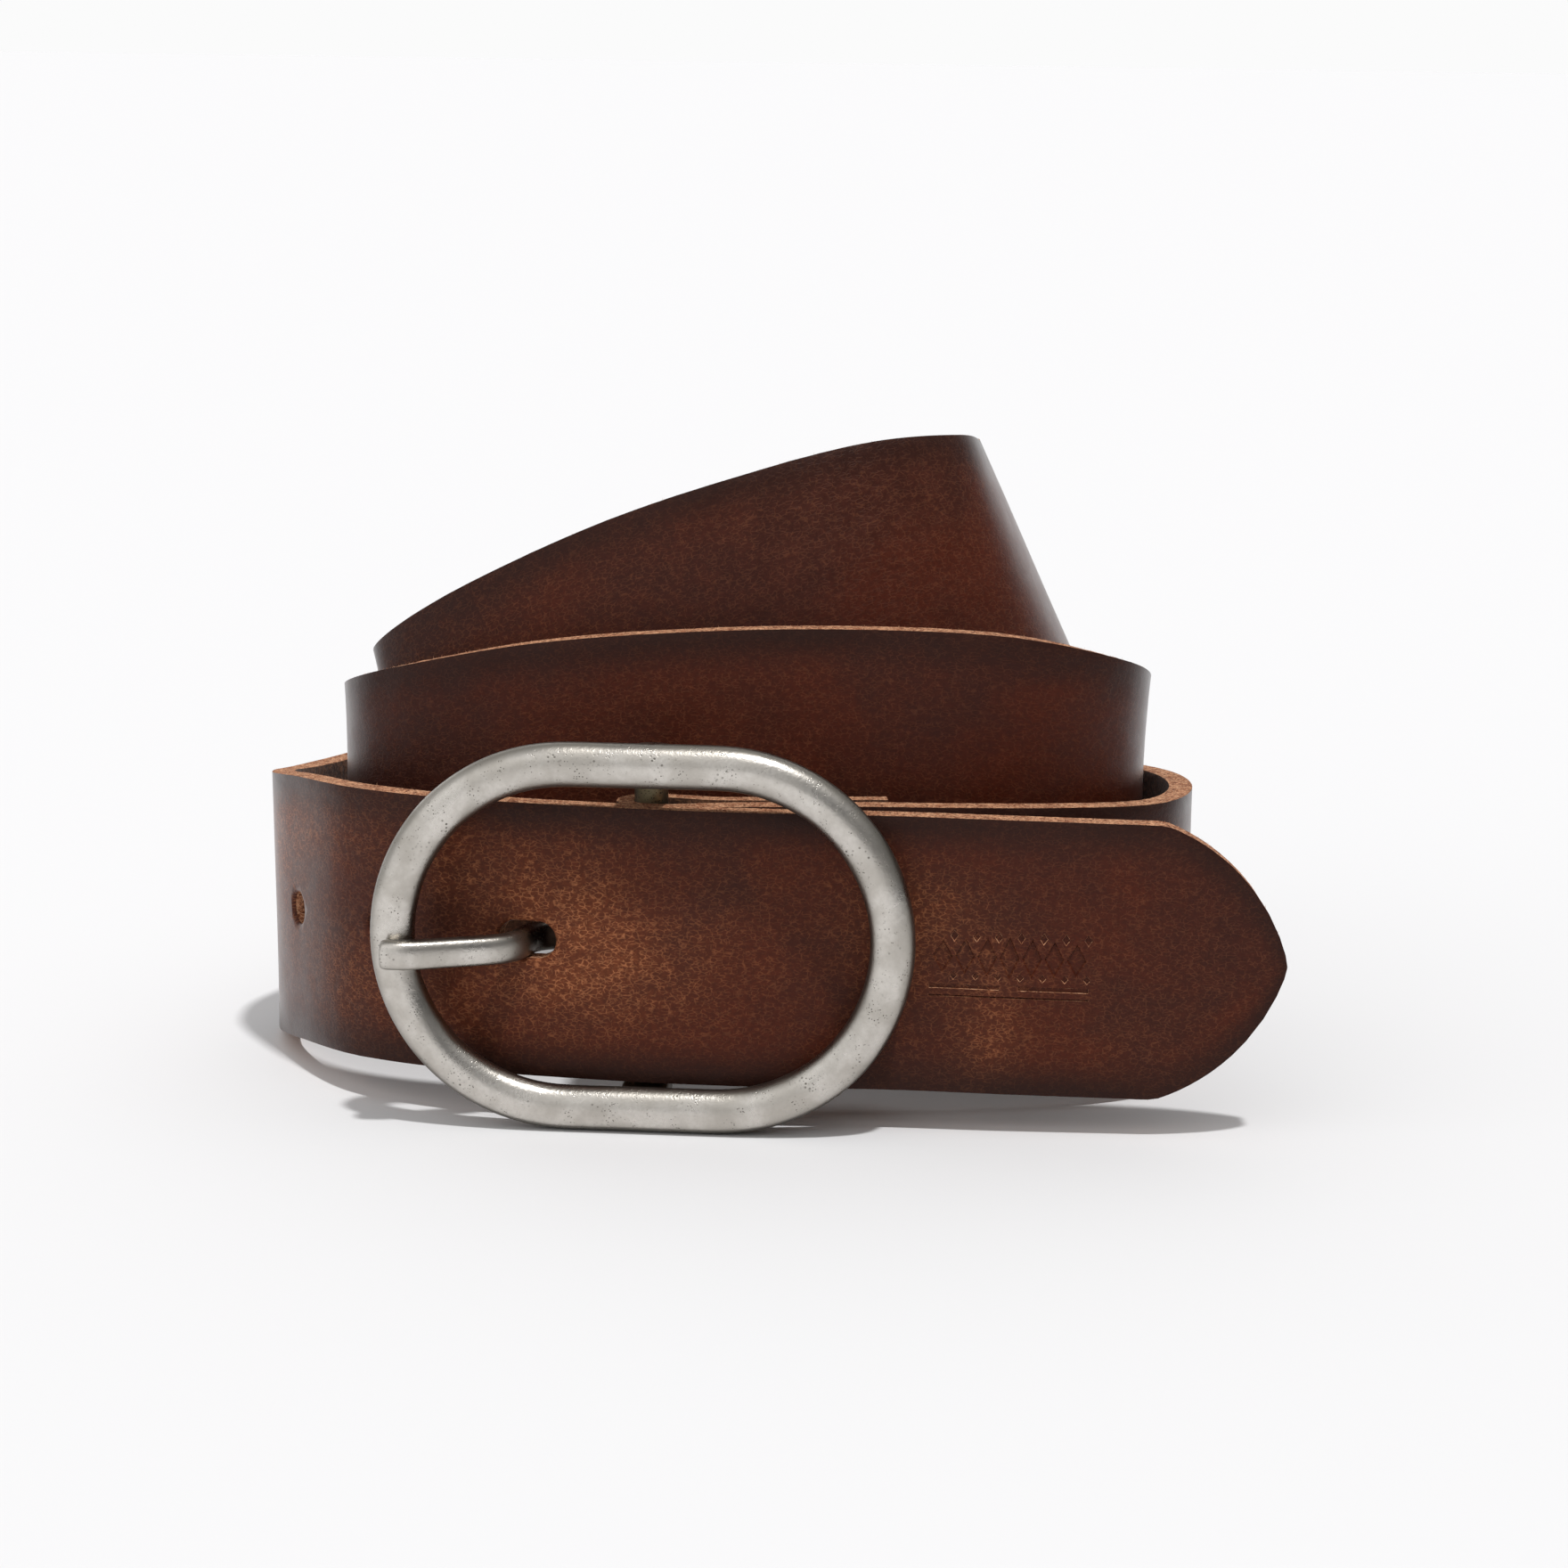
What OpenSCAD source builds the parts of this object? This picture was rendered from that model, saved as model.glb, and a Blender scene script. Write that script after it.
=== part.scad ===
// One-piece leather belt with a centre-bar buckle, fastened and coiled in three turns.
// Millimetres. The buckle faces -Y, Z is up, and everything stands on Z = 0.

/* [Strap] */
// Width of the strap
strap_w = 38; // [32:1:46]
// Thickness of the leather
strap_t = 3.3; // [2.4:0.1:4]
// Thickness where the end is pared down to fold round the bar
fold_t = 2.4; // [1.6:0.1:3]
// Free space between the two layers of the fold, filled by the press studs
layer_gap = 1.5; // [1.3:0.1:2]
// Diameter of the punched holes
hole_d = 4.6; // [4.4:0.1:6]
// Distance from one punched hole to the next
hole_pitch = 22.5; // [18:0.1:30]
// Number of punched holes
hole_count = 5; // [3:1:7]
// Length of the hole in use, drawn out by the prong
worn_hole_len = 8; // [7.6:0.1:9]
// Radius of the two curves of the pointed tip
tip_r = 27; // [20:1:40]

/* [Buckle] */
// Width of the buckle over its rim
buckle_w = 74; // [64:1:90]
// Width of the rim seen from the front
rim_w = 6.2; // [5:0.1:8]
// Depth of the rim from front to back
rim_t = 5; // [4:0.1:6]
// Free space between the strap and the rim on each side
side_gap = 1.6; // [1:0.1:3]
// Distance from the middle of the rim back to the axis of the bar
bar_back = 11.5; // [11:0.1:14]
// Width of the lugs that hold the bar
lug_w = 6.4; // [5.6:0.1:9]
// Height of the lugs along the bar
lug_h = 2.8; // [2:0.1:4]

/* [Bar and prong] */
// Diameter of the bar
bar_d = 4.6; // [3.6:0.1:5]
// Width of the prong
prong_w = 4.3; // [3.6:0.1:4.4]
// Thickness of the prong
prong_t = 3.2; // [2.4:0.1:3.6]
// Wall of the prong's eye round the bar
eye_wall = 1.35; // [1:0.05:1.6]
// Width of the slot that lets the prong through the fold
slot_w = 5.6; // [5:0.1:8]

/* [Press studs] */
// Diameter of the cap
cap_d = 10; // [8:0.1:12]
// Thickness of the cap and of the back washer
cap_t = 0.8; // [0.6:0.05:1]
// Diameter of the post of the cap and of the back washer
post_d = 3; // [2.4:0.1:3.6]
// Diameter of the socket and of the base of the stud
socket_d = 8.6; // [7:0.1:10]
// Distance between the two press studs
stud_pitch = 12; // [11:0.5:14]

/* [Hidden] */
$fn = 48;
// radial running clearance of the prong's eye on the bar
run_gap = 0.06;
// radial clearance of the fold on the bar
fold_gap = 0.1;
// radial press of the bar in its lugs and depth that a metal face sinks into leather
press = 0.02;
// radial clearance of a post in the leather
post_gap = 0.1;
// width of the strap that the heights of the route were chosen for
route_w = 38;
lift = strap_w / route_w;
buckle_h = strap_w + 2 * (rim_w + side_gap);
bar_z = buckle_h / 2;
front_z = 24.6 * lift;
// height of the lower lug's underside: the lug's top clears the strap's edge by 0.4
lug_low = front_z - strap_w / 2 - 0.4 - lug_h;
// distance from the bar's axis to the middle of the pared leather
fold_r = bar_d / 2 + fold_gap + fold_t / 2;
layer_step = (strap_t + fold_t) / 2 + layer_gap;
slope = 0.16;
steps = 3;

// middle of the outer layer of the fold, at distance x from the bar
function main_y(x) = bar_back - 1.9 + slope * (x - 10);

// x, y, height of the middle, lean of the top outward in degrees, thickness
route = [
    [32, main_y(32) + layer_step, 24.6, 0, fold_t],
    [20, main_y(20) + layer_step, 24.6, 0, fold_t],
    [10, main_y(10) + layer_step, 24.6, 0, fold_t],
    [4.5, bar_back + fold_r - 0.5, 24.6, 0, fold_t],
    [0, bar_back + fold_r, 24.6, 0, fold_t],
    [-0.79 * fold_r, bar_back + 0.66 * fold_r, 24.6, 0, fold_t],
    [-fold_r, bar_back, 24.6, 0, fold_t],
    [-0.79 * fold_r, bar_back - 0.66 * fold_r, 24.6, 0, fold_t],
    [0, bar_back - fold_r, 24.6, 0, fold_t],
    [4.5, bar_back - fold_r + 0.3, 24.6, 0, (fold_t + strap_t) / 2],
    [10, main_y(10), 24.6, 0, strap_t],
    [20, main_y(20), 24.6, 0, strap_t],
    [30, main_y(30), 24.6, 0, strap_t],
    [42, 14.6, 24.4, 0, strap_t],
    [56, 18.6, 24, 0, strap_t],
    [68, 25.5, 23.5, 0, strap_t],
    [72.8, 38, 23, 0, strap_t],
    [71, 54, 22.2, 0, strap_t],
    [62, 70, 20.8, 0, strap_t],
    [46, 83, 19.6, 0, strap_t],
    [24, 91, 19.5, 0, strap_t],
    [0, 92, 21, 0, strap_t],
    [-22, 86, 24, 0, strap_t],
    [-39, 73, 27.5, 0, strap_t],
    [-47, 56, 31.5, 0, strap_t],
    [-45, 41, 34.8, 0, strap_t],
    [-34.5, 29.5, 39.4, 0, strap_t],
    [-15, 22.7, 44.4, 0, strap_t],
    [5, 20.7, 46.8, 0, strap_t],
    [25, 21.2, 47.6, 0, strap_t],
    [45, 23.7, 46.8, 0, strap_t],
    [59, 30.6, 43, 0, strap_t],
    [65.5, 42, 38.5, 0, strap_t],
    [64.5, 56, 34, 0, strap_t],
    [56, 68, 30.5, 0, strap_t],
    [40, 78, 28.5, 0, strap_t],
    [20, 84, 28, 0, strap_t],
    [-4, 82, 29.5, 0, strap_t],
    [-26, 73, 31.5, 0, strap_t],
    [-36.5, 62.5, 33.2, 0, strap_t],
    [-41.3, 51.5, 35.8, 0, strap_t],
    [-37.6, 40.8, 41.3, -2, strap_t],
    [-24.5, 33, 50.4, -6, strap_t],
    [-4, 29.8, 60.8, -9, strap_t],
    [14, 30.2, 67.4, -12, strap_t],
    [31, 34.4, 72, -17, strap_t],
    [44, 44, 72.6, -22, strap_t],
    [49, 58, 71, -25, strap_t],
    [48, 74, 69.4, -23, strap_t],
    [43, 90, 64, -14, strap_t],
    [28, 101, 55, -6, strap_t],
    [8, 105, 44, -2, strap_t],
    [-14, 102, 32.5, 0, strap_t],
    [-34, 91, 23.6, 0, strap_t],
    [-48, 74, 19.6, 0, strap_t],
    [-56.5, 56, 19.4, 0, strap_t],
    [-56.5, 41, 21.3, 1, strap_t],
    [-50, 27, 23.5, 0, strap_t],
    [-41, 15, 24.8, 0, strap_t],
    [-30, 8.8, 25.2, 0, strap_t],
    [-16, 5.8, 25.2, 0, strap_t],
    [2, 4.6, 25, 0, strap_t],
    [18, 4.8, 24.9, 0, strap_t],
    [34, 5.8, 24.8, 0, strap_t],
    [52, 6, 24.6, 0, strap_t],
    [70, 6.8, 24.3, 0, strap_t],
    [88, 8.2, 24, 0, strap_t]
];

// smooth curve through the points of the route
function blend(a, b, c, d, u) =
    0.5 * (2 * b + (c - a) * u + (2 * a - 5 * b + 4 * c - d) * u * u + (3 * b - a - 3 * c + d) * u * u * u);
function stop(i) =
    i < 0 ? 2 * route[0] - route[1]
    : i >= len(route) ? 2 * route[len(route) - 1] - route[len(route) - 2]
    : route[i];
path = [
    for (i = [0 : len(route) - 2], k = [0 : steps - 1])
        blend(stop(i - 1), stop(i), stop(i + 1), stop(i + 2), k / steps),
    route[len(route) - 1]
];
last = len(path) - 1;

function mid(i) = [path[i].x, path[i].y, path[i].z * lift];
function unit(v) = v / norm(v);
function along(i) = unit(mid(min(i + 1, last)) - mid(max(i - 1, 0)));
function out_flat(i) = unit([along(i).y, -along(i).x, 0]);
function up_flat(i) = cross(out_flat(i), along(i));
function across(i) = cos(path[i][3]) * up_flat(i) + sin(path[i][3]) * out_flat(i);
function outward(i) = cos(path[i][3]) * out_flat(i) - sin(path[i][3]) * up_flat(i);
function corner(i, a, b) =
    mid(i) + a * across(i) * strap_w / 2 + b * outward(i) * path[i][4] / 2;

corners = [
    for (i = [0 : last])
        each [corner(i, -1, 1), corner(i, 1, 1), corner(i, 1, -1), corner(i, -1, -1)]
];
faces = [
    [0, 2, 1], [0, 3, 2],
    [4 * last, 4 * last + 1, 4 * last + 2], [4 * last, 4 * last + 2, 4 * last + 3],
    for (i = [0 : last - 1], k = [0 : 3])
        each [
            [4 * i + k, 4 * i + (k + 1) % 4, 4 * i + 4 + k],
            [4 * i + (k + 1) % 4, 4 * i + 4 + (k + 1) % 4, 4 * i + 4 + k]
        ]
];

// distance along the strap at each point of the path
reach = [
    for (i = 0, s = 0; i <= last; s = s + (i < last ? norm(mid(i + 1) - mid(i)) : 0), i = i + 1) s
];
function near(s, i = 0) = i >= last || reach[i + 1] > s ? i : near(s, i + 1);

// the hole in use ends here on the buckle side, and the tip ends here
hole_end_x = -12.9;
worn_x = hole_end_x - worn_hole_len / 2;
worn_d = hole_d + 0.6;
tip_x = 86.5;
tip_mid_z = 24 * lift;
// centres of the two curves of the tip, worked out from the strap's width and their radius
tip_side = tip_r - strap_w / 2 - 1.5;
tip_back = tip_x - sqrt(tip_r * tip_r - tip_side * tip_side);
// distance along the strap to the middle of the hole in use, before it was drawn out
punched_x = hole_end_x - hole_d / 2;
worn_i = max([for (i = [last - 30 : last]) if (path[i].x < punched_x) i]);
worn_reach = reach[worn_i] + (reach[worn_i + 1] - reach[worn_i])
    * (punched_x - path[worn_i].x) / (path[worn_i + 1].x - path[worn_i].x);

rim_r = buckle_h / 2 - rim_w / 2;
rim_run = (buckle_w - buckle_h) / 2;
stud_xs = [13.2, 13.2 + stud_pitch];
stud_turn = atan(slope);
prong_rest = -rim_t / 2 - prong_t / 2 - 0.05;
rim_mid = buckle_w / 2 - rim_w / 2;

// middle line of the prong from its eye, through the worn hole, to the rim
prong_line = [
    [-bar_d / 2 - run_gap - eye_wall / 2, bar_back + 0.2],
    [-6.5, bar_back + 0.1],
    [-10.8, bar_back - 0.3],
    [worn_x + 2.5, 9.9],
    [worn_x + 0.7, 7.6],
    [worn_x, 5.2],
    [worn_x - 0.6, 3.2],
    [worn_x - 2.1, 1.3],
    [worn_x - 4.9, -0.3],
    [worn_x - 9.1, -2],
    [-rim_mid + 4.1, prong_rest + 0.6],
    [-rim_mid + 1.8, prong_rest],
    [-rim_mid, prong_rest]
];
function line_dir(i) =
    unit(prong_line[min(i + 1, len(prong_line) - 1)] - prong_line[max(i - 1, 0)]);
function side(i, k) = prong_line[i] + k * prong_t / 2 * [-line_dir(i).y, line_dir(i).x];

// the whole part stands with the middle of its footprint at the origin
low_x = min([for (p = corners) p.x]);
high_y = max([for (p = corners) p.y]);
low_y = prong_rest - prong_t / 2;
home = [-(low_x + tip_x) / 2, -(low_y + high_y) / 2, 0];

// Piece to show, or all of them

// a short round cutter through the strap at one distance along it
module punch(s, d) {
    i = near(s);
    u = (s - reach[i]) / (reach[i + 1] - reach[i]);
    e = unit((1 - u) * outward(i) + u * outward(i + 1));
    a = unit(cross(up_flat(i), e));
    c = cross(e, a);
    p = (1 - u) * mid(i) + u * mid(i + 1);
    multmatrix([
        [a.x, c.x, e.x, p.x],
        [a.y, c.y, e.y, p.y],
        [a.z, c.z, e.z, p.z],
        [0, 0, 0, 1]
    ])
        cylinder(d = d, h = strap_t + 2, center = true);
}

// puts its children on the axis of a press stud, with +Z out of the front layer
module at_stud(x) {
    translate([x, main_y(x), front_z])
        rotate([0, 0, stud_turn])
            rotate([90, 0, 0])
                children();
}

// what lies outside the two curves of the tip
module tip_waste() {
    difference() {
        translate([tip_back - 1, -4, -5])
            cube([tip_x - tip_back + 12, 16, strap_w + 20]);
        intersection() {
            translate([tip_back, 14, tip_mid_z + tip_side])
                rotate([90, 0, 0])
                    cylinder(r = tip_r, h = 20, $fn = 96);
            translate([tip_back, 14, tip_mid_z - tip_side])
                rotate([90, 0, 0])
                    cylinder(r = tip_r, h = 20, $fn = 96);
        }
    }
}

// the opening in the fold that the prong's eye turns in
module fold_slot() {
    translate([-fold_r - fold_t, bar_back - fold_r - fold_t, front_z - slot_w / 2])
        cube([fold_r + fold_t + 3, 2 * (fold_r + fold_t), slot_w]);
    translate([3, bar_back + fold_r + fold_t, front_z])
        rotate([90, 0, 0])
            cylinder(d = slot_w, h = 2 * (fold_r + fold_t));
}

// the hole in use, drawn out along the strap
module worn_hole() {
    for (x = [worn_x - (worn_hole_len - worn_d) / 2, worn_x + (worn_hole_len - worn_d) / 2])
        translate([x, 12, front_z])
            rotate([90, 0, 0])
                cylinder(d = worn_d, h = 12);
    translate([worn_x - (worn_hole_len - worn_d) / 2, 0, front_z - worn_d / 2])
        cube([worn_hole_len - worn_d, 12, worn_d]);
}

module strap() {
    color("#4a2a20")
        translate(home)
            difference() {
                polyhedron(points = corners, faces = faces, convexity = 12);
                tip_waste();
                fold_slot();
                worn_hole();
                for (k = [1 : hole_count - 1])
                    punch(worn_reach - k * hole_pitch, hole_d);
                for (x = stud_xs)
                    at_stud(x)
                        translate([0, 0, -strap_t / 2 - layer_gap - fold_t - 1])
                            cylinder(d = post_d + 2 * post_gap, h = strap_t + layer_gap + fold_t + 2);
            }
}

// section of the rim: flat-sided with fully rounded front and back corners
module rim_section() {
    for (x = [-1, 1])
        translate([x * (rim_w - rim_t) / 2, 0])
            circle(d = rim_t);
    square([rim_w - rim_t, rim_t], center = true);
}

module lug(low) {
    translate([-lug_w / 2, 0, low])
        cube([lug_w, bar_back, lug_h]);
    translate([0, bar_back, low])
        cylinder(d = lug_w, h = lug_h);
}

module buckle_frame() {
    color("#b9b9b3")
        translate(home)
            difference() {
                union() {
                    for (s = [-1, 1]) {
                        translate([s * rim_run, 0, bar_z])
                            rotate([90, 0, 0])
                                rotate([0, 0, s > 0 ? -90 : 90])
                                    rotate_extrude(angle = 180)
                                        translate([rim_r, 0])
                                            rim_section();
                        translate([-rim_run, 0, bar_z + s * rim_r])
                            rotate([0, 90, 0])
                                linear_extrude(height = 2 * rim_run)
                                    rim_section();
                    }
                    lug(lug_low);
                    lug(buckle_h - lug_low - lug_h);
                }
                translate([0, bar_back, lug_low - 1])
                    cylinder(d = bar_d, h = buckle_h - 2 * lug_low + 2);
            }
}

module centre_bar() {
    color("#8d8a80")
        translate(home)
            translate([0, bar_back, lug_low + 0.2])
                cylinder(d = bar_d + press, h = buckle_h - 2 * lug_low - 0.4);
}

module prong() {
    n = len(prong_line) - 1;
    color("#c4c4be")
        translate(home)
            translate([0, 0, front_z - prong_w / 2])
                difference() {
                    union() {
                        translate([0, bar_back, 0])
                            cylinder(d = bar_d + 2 * (run_gap + eye_wall), h = prong_w);
                        linear_extrude(height = prong_w)
                            polygon([
                                for (i = [0 : n]) side(i, 1),
                                for (i = [n : -1 : 0]) side(i, -1)
                            ]);
                    }
                    translate([0, bar_back, -1])
                        cylinder(d = bar_d + 2 * run_gap + press, h = prong_w + 2);
                }
}

// cap on the front of the outer layer, with its post through the leather
module cap(x) {
    color("#a9a79c")
        translate(home)
            at_stud(x)
                translate([0, 0, strap_t / 2 - press]) {
                    cylinder(d = cap_d, h = cap_t);
                    translate([0, 0, press - strap_t - 0.4])
                        cylinder(d = post_d, h = strap_t + 0.4);
                }
}

// socket behind the outer layer, riveted to the post of the cap
module socket(x) {
    color("#9c9a90")
        translate(home)
            at_stud(x)
                translate([0, 0, -strap_t / 2 - 0.9 + press])
                    difference() {
                        cylinder(d = socket_d, h = 0.9);
                        translate([0, 0, -1])
                            cylinder(d = post_d, h = 3);
                        translate([0, 0, -1])
                            cylinder(d = post_d + 1.4, h = 1.5);
                    }
}

// stud in front of the inner layer, whose head snaps into the socket
module ball(x) {
    color("#9c9a90")
        translate(home)
            at_stud(x)
                translate([0, 0, -strap_t / 2 - layer_gap - press]) {
                    difference() {
                        cylinder(d = socket_d, h = 0.45);
                        translate([0, 0, -1])
                            cylinder(d = post_d - press, h = 2);
                    }
                    difference() {
                        cylinder(d = post_d + 1.3, h = 0.95);
                        translate([0, 0, -1])
                            cylinder(d = post_d - press, h = 3);
                    }
                }
}

// washer behind the inner layer, whose tube holds the stud
module washer(x) {
    color("#a9a79c")
        translate(home)
            at_stud(x)
                translate([0, 0, -strap_t / 2 - layer_gap - fold_t - cap_t + press]) {
                    cylinder(d = cap_d - 1, h = cap_t);
                    cylinder(d = post_d, h = cap_t + fold_t + 0.3);
                }
}

module stud_cap_inner() {
    cap(stud_xs[0]);
}

module stud_cap_outer() {
    cap(stud_xs[1]);
}

module stud_socket_inner() {
    socket(stud_xs[0]);
}

module stud_socket_outer() {
    socket(stud_xs[1]);
}

module stud_ball_inner() {
    ball(stud_xs[0]);
}

module stud_ball_outer() {
    ball(stud_xs[1]);
}

module stud_washer_inner() {
    washer(stud_xs[0]);
}

module stud_washer_outer() {
    washer(stud_xs[1]);
}

strap();
buckle_frame();
centre_bar();
prong();
stud_cap_inner();
stud_cap_outer();
stud_socket_inner();
stud_socket_outer();
stud_ball_inner();
stud_ball_outer();
stud_washer_inner();
stud_washer_outer();
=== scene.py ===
# %% [markdown]
# # A coiled leather belt with an oval buckle
#
# The belt is one long strip of thick leather. It is folded round the bar of a metal
# buckle, wound into three turns that stand on edge, and threaded back through the
# buckle. The strip is cut out flat, as a belt maker does it, and then rolled along the
# same route as the solid model, so the grain, the holes and the cut edges all follow
# the leather round its bends.

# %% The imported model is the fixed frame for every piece
import bisect
import math
import random

import bmesh
import bpy
from mathutils import Matrix, Vector, noise


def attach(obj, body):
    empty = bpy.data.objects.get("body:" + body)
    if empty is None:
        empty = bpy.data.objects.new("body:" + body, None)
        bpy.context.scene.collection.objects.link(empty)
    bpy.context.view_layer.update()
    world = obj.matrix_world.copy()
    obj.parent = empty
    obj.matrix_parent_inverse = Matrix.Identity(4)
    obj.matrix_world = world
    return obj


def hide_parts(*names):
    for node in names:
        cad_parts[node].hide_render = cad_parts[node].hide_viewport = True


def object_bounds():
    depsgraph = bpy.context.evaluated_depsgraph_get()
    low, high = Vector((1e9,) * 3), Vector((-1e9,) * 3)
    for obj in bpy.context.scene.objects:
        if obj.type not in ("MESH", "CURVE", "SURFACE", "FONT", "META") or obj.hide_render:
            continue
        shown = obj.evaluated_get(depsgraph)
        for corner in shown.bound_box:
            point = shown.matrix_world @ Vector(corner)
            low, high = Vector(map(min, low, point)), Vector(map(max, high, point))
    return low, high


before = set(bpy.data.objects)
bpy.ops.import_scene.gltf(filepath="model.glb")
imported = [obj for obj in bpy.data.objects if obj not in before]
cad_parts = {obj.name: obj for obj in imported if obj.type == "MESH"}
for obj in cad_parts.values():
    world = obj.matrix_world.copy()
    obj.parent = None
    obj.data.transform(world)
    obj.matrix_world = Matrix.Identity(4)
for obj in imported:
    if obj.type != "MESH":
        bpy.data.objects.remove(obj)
cad_box = [list(corner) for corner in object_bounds()]
MM = 0.001
low, high = Vector(cad_box[0]), Vector(cad_box[1])
print("solid model, mm:", [round(side / MM, 1) for side in high - low])

# %% [markdown]
# ## The camera
#
# A product photographer stands well back with a long lens and looks slightly down. The
# camera is placed by the point it looks at, its distance, and two angles, which is easier
# to adjust than a position. A small roll stands for a tripod that isn't quite level.

# %% Camera
AIM = Vector((5.4, -50.9, 48.6)) * MM
DISTANCE = 507 * MM
TURN, TILT, ROLL = (math.radians(angle) for angle in (4, 11, 0.8))

camera_data = bpy.data.cameras.new("camera")
camera_data.lens = 87.4
camera_data.sensor_width = 36
camera_data.clip_start = 0.01
camera = bpy.data.objects.new("camera", camera_data)
bpy.context.scene.collection.objects.link(camera)

ahead = Vector((-math.sin(TURN) * math.cos(TILT), math.cos(TURN) * math.cos(TILT), -math.sin(TILT)))
level_right = Vector((math.cos(TURN), math.sin(TURN), 0))
level_up = level_right.cross(ahead)
right = level_right * math.cos(ROLL) + level_up * math.sin(ROLL)
up = level_up * math.cos(ROLL) - level_right * math.sin(ROLL)
camera.matrix_world = Matrix.Translation(AIM - DISTANCE * ahead) @ Matrix(
    (right, up, -ahead)
).transposed().to_4x4()
bpy.context.scene.camera = camera
print("camera at, mm:", [round(c / MM) for c in camera.matrix_world.translation])

# %% [markdown]
# ## The route of the leather
#
# The strap follows a smooth curve through chosen points. Each stop gives the middle of
# the strap, how far its top leans outward, and how thick the leather is there. The end
# is pared thinner where it folds round the bar. These are the stops of the solid model,
# in its millimetres, so the visible strap and the solid one are the same shape.
# A curve object with a bevel would do for a cord, but it can't lean or change its
# thickness as leather does, so the directions are worked out at each point instead.

# %% Sizes that the route and the pieces share
STRAP_W = 38 * MM
STRAP_T = 3.3 * MM
FOLD_T = 2.4 * MM
BAR_BACK = 11.5
FOLD_R = 3.6
LAYER_STEP = 4.35
FRONT_Z = 24.6
HOLE_D = 4.6 * MM
HOLE_PITCH = 22.5 * MM
WORN_X, WORN_D, WORN_LEN = -16.9, 5.2 * MM, 8 * MM
# the round hole as punched, before the prong drew it out
PUNCHED_X = WORN_X + (WORN_LEN - HOLE_D) / 2 / MM
TIP_X = 86.5
HOME = Vector((-13.5293, -50.8834, 0)) * MM


def main_y(x):
    """Middle of the outer layer of the fold, in millimetres."""
    return BAR_BACK - 1.9 + 0.16 * (x - 10)


FOLD_STOPS = [
    (32, main_y(32) + LAYER_STEP, 2.4),
    (20, main_y(20) + LAYER_STEP, 2.4),
    (10, main_y(10) + LAYER_STEP, 2.4),
    (4.5, BAR_BACK + FOLD_R - 0.5, 2.4),
    (0, BAR_BACK + FOLD_R, 2.4),
    (-0.79 * FOLD_R, BAR_BACK + 0.66 * FOLD_R, 2.4),
    (-FOLD_R, BAR_BACK, 2.4),
    (-0.79 * FOLD_R, BAR_BACK - 0.66 * FOLD_R, 2.4),
    (0, BAR_BACK - FOLD_R, 2.4),
    (4.5, BAR_BACK - FOLD_R + 0.3, 2.85),
    (10, main_y(10), 3.3),
    (20, main_y(20), 3.3),
    (30, main_y(30), 3.3),
]
COIL_STOPS = [
    (42, 14.6, 24.4, 0), (56, 18.6, 24, 0), (68, 25.5, 23.5, 0), (72.8, 38, 23, 0),
    (71, 54, 22.2, 0), (62, 70, 20.8, 0), (46, 83, 19.6, 0), (24, 91, 19.5, 0),
    (0, 92, 21, 0), (-22, 86, 24, 0), (-39, 73, 27.5, 0), (-47, 56, 31.5, 0),
    (-45, 41, 34.8, 0), (-34.5, 29.5, 39.4, 0), (-15, 22.7, 44.4, 0), (5, 20.7, 46.8, 0),
    (25, 21.2, 47.6, 0), (45, 23.7, 46.8, 0), (59, 30.6, 43, 0), (65.5, 42, 38.5, 0),
    (64.5, 56, 34, 0), (56, 68, 30.5, 0), (40, 78, 28.5, 0), (20, 84, 28, 0),
    (-4, 82, 29.5, 0), (-26, 73, 31.5, 0), (-36.5, 62.5, 33.2, 0), (-41.3, 51.5, 35.8, 0),
    (-37.6, 40.8, 41.3, -2), (-24.5, 33, 50.4, -6), (-4, 29.8, 60.8, -9),
    (14, 30.2, 67.4, -12), (31, 34.4, 72, -17), (44, 44, 72.6, -22), (49, 58, 71, -25),
    (48, 74, 69.4, -23), (43, 90, 64, -14), (28, 101, 55, -6), (8, 105, 44, -2),
    (-14, 102, 32.5, 0), (-34, 91, 23.6, 0), (-48, 74, 19.6, 0), (-56.5, 56, 19.4, 0),
    (-56.5, 41, 21.3, 1), (-50, 27, 23.5, 0), (-41, 15, 24.8, 0), (-30, 8.8, 25.2, 0),
    (-16, 5.8, 25.2, 0), (2, 4.6, 25, 0), (18, 4.8, 24.9, 0), (34, 5.8, 24.8, 0),
    (52, 6, 24.6, 0), (70, 6.8, 24.3, 0), (88, 8.2, 24, 0),
]
STOPS = [(x, y, FRONT_Z, 0, t) for x, y, t in FOLD_STOPS]
STOPS += [(x, y, z, lean, 3.3) for x, y, z, lean in COIL_STOPS]
print(len(STOPS), "stops on the route")

# %% A smooth curve through the stops, measured along its length
SPAN_STEPS = 16


def blend(a, b, c, d, u):
    """A point on the curve from b to c; a and d give it its direction."""
    return 0.5 * (2 * b + (c - a) * u + (2 * a - 5 * b + 4 * c - d) * u**2 + (3 * b - a - 3 * c + d) * u**3)


def curve(stops, steps):
    """Points of a smooth curve through the stops, with so many steps from one to the next."""
    ends = [tuple(2 * p - q for p, q in zip(stops[0], stops[1]))]
    ends += stops + [tuple(2 * p - q for p, q in zip(stops[-1], stops[-2]))]
    for a, b, c, d in zip(ends, ends[1:], ends[2:], ends[3:]):
        for step in range(steps):
            yield [blend(*values, step / steps) for values in zip(a, b, c, d)]
    yield list(stops[-1])


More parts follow.
